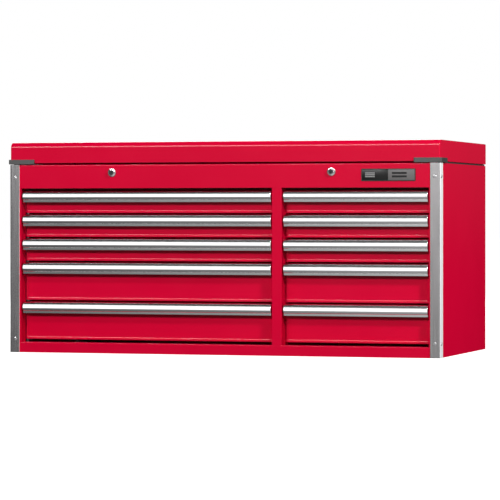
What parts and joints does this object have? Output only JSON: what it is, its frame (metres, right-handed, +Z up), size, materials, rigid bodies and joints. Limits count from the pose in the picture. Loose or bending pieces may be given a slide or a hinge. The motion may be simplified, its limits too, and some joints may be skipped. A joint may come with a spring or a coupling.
{
  "type": "top tool chest",
  "caption": "Wide steel top tool chest with a hinged lid over an open till, two banks of full-extension drawers with full-width pulls, corner posts and key locks.",
  "frame": {"origin": "centre of the whole object's footprint, on the surface it stands on", "axes": "+X to the right across the front, +Y to the back, +Z up"},
  "size_m": [1.38, 0.6434, 0.651],
  "materials": {
    "red_paint": "glossy red powder coat",
    "pull_aluminium": "satin anodised extrusion",
    "post_aluminium": "brushed along its length",
    "zinc_steel": "zinc plated",
    "guard_plastic": "moulded dark grey plastic",
    "lock_chrome": "polished chrome",
    "screw_steel": "nickel plated",
    "rod_chrome": "polished",
    "strut_black": "satin black",
    "plate": "two-tone grey plate"
  },
  "bodies": {
    "cabinet": {"cabinet_wrapper": "red_paint", "base_pan": "red_paint", "front_frame": "red_paint", "centre_partition": "red_paint", "till_floor": "red_paint", "slide_uprights": "zinc_steel", "cabinet_rails": "zinc_steel", "corner_post_left": "post_aluminium", "corner_post_right": "post_aluminium", "cabinet_fasteners": "screw_steel", "lock_barrels": "lock_chrome", "name_plate": "plate", "hinge_cabinet_leaf": "red_paint"},
    "lid": {"lid_shell": "red_paint", "lid_corner_guards": "guard_plastic", "hinge_lid_leaf": "red_paint"},
    "struts": {"strut_cylinders": "strut_black"},
    "strut_rods": {"strut_rods": "rod_chrome"},
    "lock_left": {"lock_plug_left": "lock_chrome"},
    "lock_right": {"lock_plug_right": "lock_chrome"},
    "drawer_L1": {"drawer_L1": "red_paint", "pull_L1": "pull_aluminium", "drawer_rails_L1": "zinc_steel"},
    "mid_rails_L1": {"mid_rails_L1": "zinc_steel"},
    "drawer_L2": {"drawer_L2": "red_paint", "pull_L2": "pull_aluminium", "drawer_rails_L2": "zinc_steel"},
    "mid_rails_L2": {"mid_rails_L2": "zinc_steel"},
    "drawer_L3": {"drawer_L3": "red_paint", "pull_L3": "pull_aluminium", "drawer_rails_L3": "zinc_steel"},
    "mid_rails_L3": {"mid_rails_L3": "zinc_steel"},
    "drawer_L4": {"drawer_L4": "red_paint", "pull_L4": "pull_aluminium", "drawer_rails_L4": "zinc_steel"},
    "mid_rails_L4": {"mid_rails_L4": "zinc_steel"},
    "drawer_L5": {"drawer_L5": "red_paint", "pull_L5": "pull_aluminium", "drawer_rails_L5": "zinc_steel"},
    "mid_rails_L5": {"mid_rails_L5": "zinc_steel"},
    "drawer_R1": {"drawer_R1": "red_paint", "pull_R1": "pull_aluminium", "drawer_rails_R1": "zinc_steel"},
    "mid_rails_R1": {"mid_rails_R1": "zinc_steel"},
    "drawer_R2": {"drawer_R2": "red_paint", "pull_R2": "pull_aluminium", "drawer_rails_R2": "zinc_steel"},
    "mid_rails_R2": {"mid_rails_R2": "zinc_steel"},
    "drawer_R3": {"drawer_R3": "red_paint", "pull_R3": "pull_aluminium", "drawer_rails_R3": "zinc_steel"},
    "mid_rails_R3": {"mid_rails_R3": "zinc_steel"},
    "drawer_R4": {"drawer_R4": "red_paint", "pull_R4": "pull_aluminium", "drawer_rails_R4": "zinc_steel"},
    "mid_rails_R4": {"mid_rails_R4": "zinc_steel"},
    "drawer_R5": {"drawer_R5": "red_paint", "pull_R5": "pull_aluminium", "drawer_rails_R5": "zinc_steel"},
    "mid_rails_R5": {"mid_rails_R5": "zinc_steel"}
  },
  "joints": [
    {"name": "lid_hinge", "type": "hinge", "parent": "cabinet", "child": "lid", "pos_m": [0, 0.31925, 0.58425], "axis": [-1, 0, 0], "range_deg": [0, 80]},
    {"name": "strut_pivot", "type": "hinge", "parent": "cabinet", "child": "struts", "pos_m": [0, 0.28425, 0.53], "axis": [-1, 0, 0], "range_deg": [0, 69.25]},
    {"name": "strut_extend", "type": "slide", "parent": "struts", "child": "strut_rods", "axis": [0, -0.8854, 0.4648], "range_m": [0, 0.0728]},
    {"name": "lock_turn_left", "type": "hinge", "parent": "cabinet", "child": "lock_left", "pos_m": [-0.35, -0.31325, 0.5566], "axis": [0, 1, 0], "range_deg": [0, 90]},
    {"name": "lock_turn_right", "type": "hinge", "parent": "cabinet", "child": "lock_right", "pos_m": [0.35, -0.31325, 0.5566], "axis": [0, 1, 0], "range_deg": [0, 90]},
    {"name": "drawer_slide_L1", "type": "slide", "parent": "cabinet", "child": "drawer_L1", "axis": [0, -1, 0], "range_m": [0, 0.55]},
    {"name": "mid_slide_L1", "type": "slide", "parent": "cabinet", "child": "mid_rails_L1", "axis": [0, -1, 0], "range_m": [0, 0.275]},
    {"name": "drawer_slide_L2", "type": "slide", "parent": "cabinet", "child": "drawer_L2", "axis": [0, -1, 0], "range_m": [0, 0.55]},
    {"name": "mid_slide_L2", "type": "slide", "parent": "cabinet", "child": "mid_rails_L2", "axis": [0, -1, 0], "range_m": [0, 0.275]},
    {"name": "drawer_slide_L3", "type": "slide", "parent": "cabinet", "child": "drawer_L3", "axis": [0, -1, 0], "range_m": [0, 0.55]},
    {"name": "mid_slide_L3", "type": "slide", "parent": "cabinet", "child": "mid_rails_L3", "axis": [0, -1, 0], "range_m": [0, 0.275]},
    {"name": "drawer_slide_L4", "type": "slide", "parent": "cabinet", "child": "drawer_L4", "axis": [0, -1, 0], "range_m": [0, 0.55]},
    {"name": "mid_slide_L4", "type": "slide", "parent": "cabinet", "child": "mid_rails_L4", "axis": [0, -1, 0], "range_m": [0, 0.275]},
    {"name": "drawer_slide_L5", "type": "slide", "parent": "cabinet", "child": "drawer_L5", "axis": [0, -1, 0], "range_m": [0, 0.55]},
    {"name": "mid_slide_L5", "type": "slide", "parent": "cabinet", "child": "mid_rails_L5", "axis": [0, -1, 0], "range_m": [0, 0.275]},
    {"name": "drawer_slide_R1", "type": "slide", "parent": "cabinet", "child": "drawer_R1", "axis": [0, -1, 0], "range_m": [0, 0.55]},
    {"name": "mid_slide_R1", "type": "slide", "parent": "cabinet", "child": "mid_rails_R1", "axis": [0, -1, 0], "range_m": [0, 0.275]},
    {"name": "drawer_slide_R2", "type": "slide", "parent": "cabinet", "child": "drawer_R2", "axis": [0, -1, 0], "range_m": [0, 0.55]},
    {"name": "mid_slide_R2", "type": "slide", "parent": "cabinet", "child": "mid_rails_R2", "axis": [0, -1, 0], "range_m": [0, 0.275]},
    {"name": "drawer_slide_R3", "type": "slide", "parent": "cabinet", "child": "drawer_R3", "axis": [0, -1, 0], "range_m": [0, 0.55]},
    {"name": "mid_slide_R3", "type": "slide", "parent": "cabinet", "child": "mid_rails_R3", "axis": [0, -1, 0], "range_m": [0, 0.275]},
    {"name": "drawer_slide_R4", "type": "slide", "parent": "cabinet", "child": "drawer_R4", "axis": [0, -1, 0], "range_m": [0, 0.55]},
    {"name": "mid_slide_R4", "type": "slide", "parent": "cabinet", "child": "mid_rails_R4", "axis": [0, -1, 0], "range_m": [0, 0.275]},
    {"name": "drawer_slide_R5", "type": "slide", "parent": "cabinet", "child": "drawer_R5", "axis": [0, -1, 0], "range_m": [0, 0.55]},
    {"name": "mid_slide_R5", "type": "slide", "parent": "cabinet", "child": "mid_rails_R5", "axis": [0, -1, 0], "range_m": [0, 0.275]}
  ],
  "couplings": [
    {"joint": "strut_pivot", "follows": "lid_hinge", "ratio": 0.86503},
    {"joint": "strut_extend", "follows": "lid_hinge", "m_per_rad": 0.051981},
    {"joint": "mid_slide_L1", "follows": "drawer_slide_L1", "ratio": 0.5},
    {"joint": "mid_slide_L2", "follows": "drawer_slide_L2", "ratio": 0.5},
    {"joint": "mid_slide_L3", "follows": "drawer_slide_L3", "ratio": 0.5},
    {"joint": "mid_slide_L4", "follows": "drawer_slide_L4", "ratio": 0.5},
    {"joint": "mid_slide_L5", "follows": "drawer_slide_L5", "ratio": 0.5},
    {"joint": "mid_slide_R1", "follows": "drawer_slide_R1", "ratio": 0.5},
    {"joint": "mid_slide_R2", "follows": "drawer_slide_R2", "ratio": 0.5},
    {"joint": "mid_slide_R3", "follows": "drawer_slide_R3", "ratio": 0.5},
    {"joint": "mid_slide_R4", "follows": "drawer_slide_R4", "ratio": 0.5},
    {"joint": "mid_slide_R5", "follows": "drawer_slide_R5", "ratio": 0.5}
  ]
}
